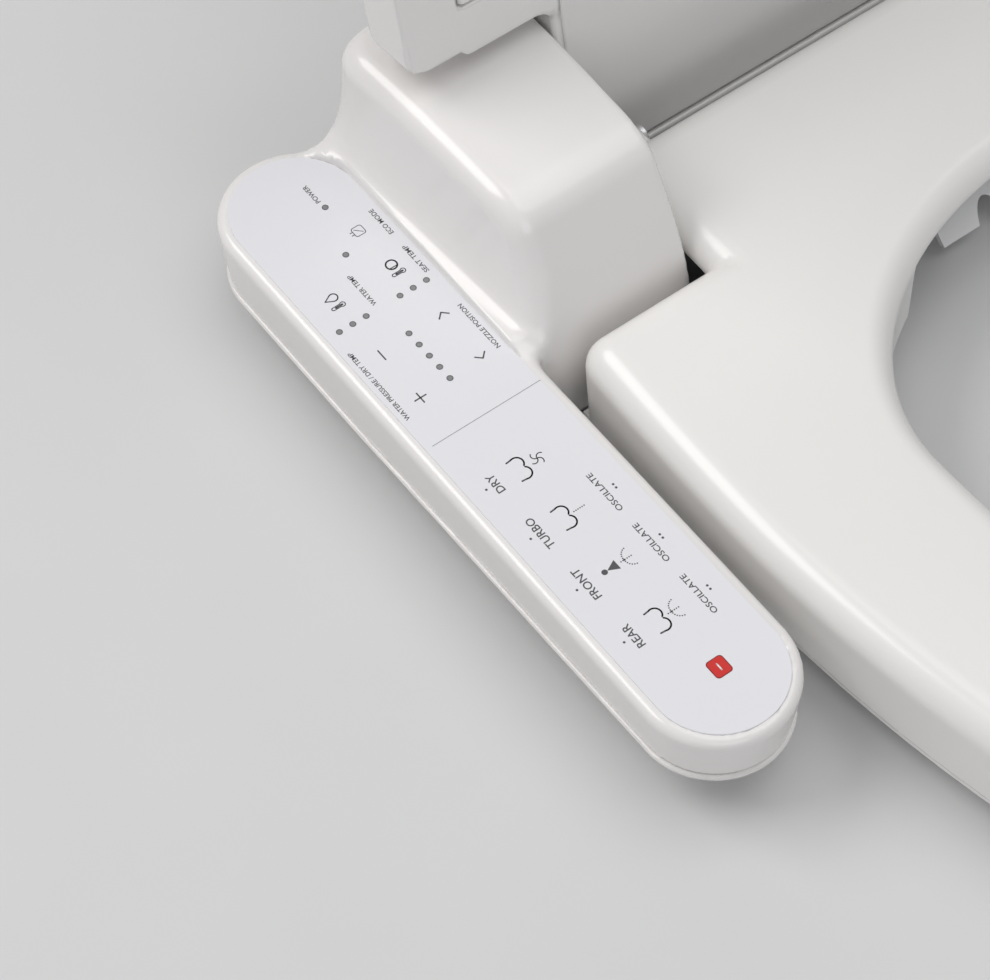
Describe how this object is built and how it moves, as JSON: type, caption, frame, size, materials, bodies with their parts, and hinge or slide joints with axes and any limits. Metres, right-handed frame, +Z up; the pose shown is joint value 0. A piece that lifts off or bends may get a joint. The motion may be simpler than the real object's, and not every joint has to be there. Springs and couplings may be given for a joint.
{
  "type": "electric bidet seat",
  "caption": "Electric bidet seat: hinged heated seat and raised lid on a rear housing, with a slim side control arm, sliding wash nozzles and warm-air dryer.",
  "frame": {"origin": "midway between the two bowl bolts, on the plane of the bowl's rim", "axes": "+Z up, the seat's front at -Y, the seated user's left at +X (control arm at -X)"},
  "size_m": [0.4226, 0.5593, 0.4739],
  "materials": {
    "housing_white": "gloss",
    "seat_white": "gloss",
    "lid_white": "gloss",
    "panel_film": "satin",
    "key_film": "satin",
    "inner_white": "gloss",
    "nozzle_white": "gloss",
    "inner_grey": "matte",
    "circuit_board": "satin",
    "lamp": "gloss",
    "rubber": "matte",
    "steel": "satin",
    "tank_plastic": "satin",
    "brass": "satin"
  },
  "bodies": {
    "housing": {"arm_bottom_cover": "housing_white", "base_plate": "inner_grey", "base_screws": "steel", "bay_cover": "inner_white", "blower_casing": "inner_grey", "cord_gland": "inner_grey", "diverter_valve": "inner_grey", "dryer_duct": "inner_grey", "dryer_heater": "steel", "front_nozzle_motor": "steel", "hinge_pin_left": "steel", "hinge_pin_right": "steel", "indicator_lamps": "lamp", "key_switches": "inner_grey", "lid_damper": "inner_grey", "main_board": "circuit_board", "mounting_plate": "inner_grey", "nozzle_guard": "inner_white", "nozzle_guide": "inner_white", "panel_board": "circuit_board", "panel_film": "panel_film", "power_supply": "inner_grey", "rear_nozzle_motor": "steel", "rubber_feet": "rubber", "seat_damper": "inner_grey", "solenoid_valve": "inner_grey", "tank_heater": "steel", "upper_cover": "housing_white", "water_inlet": "brass", "water_tank": "tank_plastic"},
    "seat": {"seat_top_shell": "seat_white", "seat_bottom_shell": "seat_white", "seat_heater": "steel", "seat_bumpers": "rubber"},
    "lid": {"lid_shell": "lid_white", "lid_liner": "lid_white", "lid_bumpers": "rubber"},
    "rear_nozzle": {"rear_wash_nozzle": "nozzle_white"},
    "front_nozzle": {"front_wash_nozzle": "nozzle_white"},
    "impeller": {"dryer_impeller": "inner_grey"},
    "flap": {"dryer_flap": "inner_white"},
    "release": {"release_button": "housing_white"},
    "backward_key_body": {"backward_key": "key_film"},
    "dry_key_body": {"dry_key": "key_film"},
    "eco_key_body": {"eco_key": "key_film"},
    "forward_key_body": {"forward_key": "key_film"},
    "front_wash_key_body": {"front_wash_key": "key_film"},
    "minus_key_body": {"minus_key": "key_film"},
    "plus_key_body": {"plus_key": "key_film"},
    "rear_wash_key_body": {"rear_wash_key": "key_film"},
    "seat_temp_key_body": {"seat_temp_key": "key_film"},
    "stop_key_body": {"stop_key": "key_film"},
    "turbo_key_body": {"turbo_key": "key_film"},
    "water_temp_key_body": {"water_temp_key": "key_film"}
  },
  "joints": [
    {"name": "seat_hinge", "type": "hinge", "parent": "housing", "child": "seat", "pos_m": [0, -0.015, 0.038], "axis": [-1, 0, 0], "range_deg": [0, 95]},
    {"name": "lid_hinge", "type": "hinge", "parent": "housing", "child": "lid", "pos_m": [0, -0.015, 0.038], "axis": [-1, 0, 0], "range_deg": [-100, 0]},
    {"name": "rear_nozzle_slide", "type": "slide", "parent": "housing", "child": "rear_nozzle", "axis": [0, -0.9397, -0.342], "range_m": [0, 0.036]},
    {"name": "front_nozzle_slide", "type": "slide", "parent": "housing", "child": "front_nozzle", "axis": [0, -0.9397, -0.342], "range_m": [0, 0.036]},
    {"name": "impeller_spin", "type": "hinge", "parent": "housing", "child": "impeller", "pos_m": [0.043, -0.044, 0.018], "axis": [0, 0, 1], "continuous": true},
    {"name": "dryer_flap_hinge", "type": "hinge", "parent": "housing", "child": "flap", "pos_m": [0.043, -0.0758, 0.0286], "axis": [-1, 0, 0], "range_deg": [0, 55], "stiffness_Nm_per_rad": 0.01, "springref_deg": -11.46},
    {"name": "release_push", "type": "slide", "parent": "housing", "child": "release", "axis": [-1, 0, 0], "range_m": [0, 0.004], "stiffness_N_per_m": 600, "springref_m": -0.0005},
    {"name": "backward_key_press", "type": "slide", "parent": "housing", "child": "backward_key_body", "axis": [0, 0, -1], "range_m": [0, 0.0005], "stiffness_N_per_m": 600, "springref_m": -0.0005},
    {"name": "dry_key_press", "type": "slide", "parent": "housing", "child": "dry_key_body", "axis": [0, 0, -1], "range_m": [0, 0.0005], "stiffness_N_per_m": 600, "springref_m": -0.0005},
    {"name": "eco_key_press", "type": "slide", "parent": "housing", "child": "eco_key_body", "axis": [0, 0, -1], "range_m": [0, 0.0005], "stiffness_N_per_m": 600, "springref_m": -0.0005},
    {"name": "forward_key_press", "type": "slide", "parent": "housing", "child": "forward_key_body", "axis": [0, 0, -1], "range_m": [0, 0.0005], "stiffness_N_per_m": 600, "springref_m": -0.0005},
    {"name": "front_wash_key_press", "type": "slide", "parent": "housing", "child": "front_wash_key_body", "axis": [0, 0, -1], "range_m": [0, 0.0005], "stiffness_N_per_m": 600, "springref_m": -0.0005},
    {"name": "minus_key_press", "type": "slide", "parent": "housing", "child": "minus_key_body", "axis": [0, 0, -1], "range_m": [0, 0.0005], "stiffness_N_per_m": 600, "springref_m": -0.0005},
    {"name": "plus_key_press", "type": "slide", "parent": "housing", "child": "plus_key_body", "axis": [0, 0, -1], "range_m": [0, 0.0005], "stiffness_N_per_m": 600, "springref_m": -0.0005},
    {"name": "rear_wash_key_press", "type": "slide", "parent": "housing", "child": "rear_wash_key_body", "axis": [0, 0, -1], "range_m": [0, 0.0005], "stiffness_N_per_m": 600, "springref_m": -0.0005},
    {"name": "seat_temp_key_press", "type": "slide", "parent": "housing", "child": "seat_temp_key_body", "axis": [0, 0, -1], "range_m": [0, 0.0005], "stiffness_N_per_m": 600, "springref_m": -0.0005},
    {"name": "stop_key_press", "type": "slide", "parent": "housing", "child": "stop_key_body", "axis": [0, 0, -1], "range_m": [0, 0.0005], "stiffness_N_per_m": 600, "springref_m": -0.0005},
    {"name": "turbo_key_press", "type": "slide", "parent": "housing", "child": "turbo_key_body", "axis": [0, 0, -1], "range_m": [0, 0.0005], "stiffness_N_per_m": 600, "springref_m": -0.0005},
    {"name": "water_temp_key_press", "type": "slide", "parent": "housing", "child": "water_temp_key_body", "axis": [0, 0, -1], "range_m": [0, 0.0005], "stiffness_N_per_m": 600, "springref_m": -0.0005}
  ]
}
